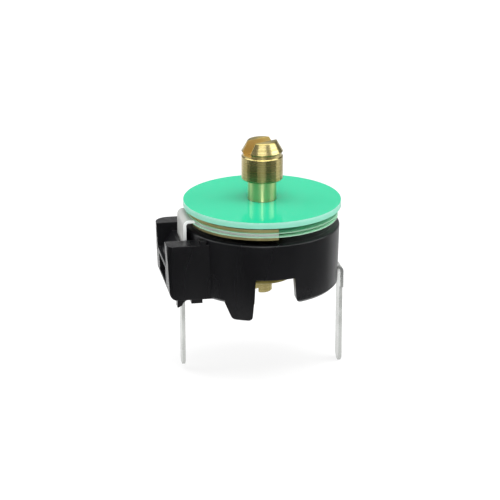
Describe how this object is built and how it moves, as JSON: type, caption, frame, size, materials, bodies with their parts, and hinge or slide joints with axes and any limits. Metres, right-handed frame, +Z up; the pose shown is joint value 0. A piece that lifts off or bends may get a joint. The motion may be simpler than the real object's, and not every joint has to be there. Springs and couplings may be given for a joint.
{
  "type": "trimmer capacitor",
  "caption": "Film-dielectric trimmer capacitor: half-disc plates turned by a slotted brass spindle in a black housing with flat board pins.",
  "frame": {"origin": "on the spindle's axis, at the board's surface, where the housing's feet stand", "axes": "+Z up along the spindle, -X towards the stator's terminal block, +X towards the rotor's terminal"},
  "size_m": [0.0117, 0.01, 0.0151],
  "materials": {
    "black_moulding": "moulded black plastic, semi-gloss",
    "tinned_sheet": "tinned sheet, satin, slightly streaked",
    "brass_sheet": "stamped brass sheet, satin",
    "clear_film": "clear dielectric film, glossy",
    "green_disc": "green translucent plastic disc, glossy",
    "turned_brass": "turned brass, fine lathe marks"
  },
  "bodies": {
    "base": {"housing": "black_moulding", "stator_plate": "tinned_sheet", "film_upper": "clear_film", "film_lower": "clear_film", "rotor_terminal": "tinned_sheet"},
    "rotor": {"spindle": "turned_brass", "rotor_plate_upper": "brass_sheet", "rotor_plate_lower": "brass_sheet", "cover_disc": "green_disc", "cover_ring": "turned_brass", "spacer_ring": "turned_brass", "thrust_ring": "turned_brass", "tension_washer": "brass_sheet"}
  },
  "joints": [
    {"name": "rotor_turn", "type": "hinge", "parent": "base", "child": "rotor", "pos_m": [0, 0, 0.005], "axis": [0, 0, 1], "continuous": true}
  ]
}
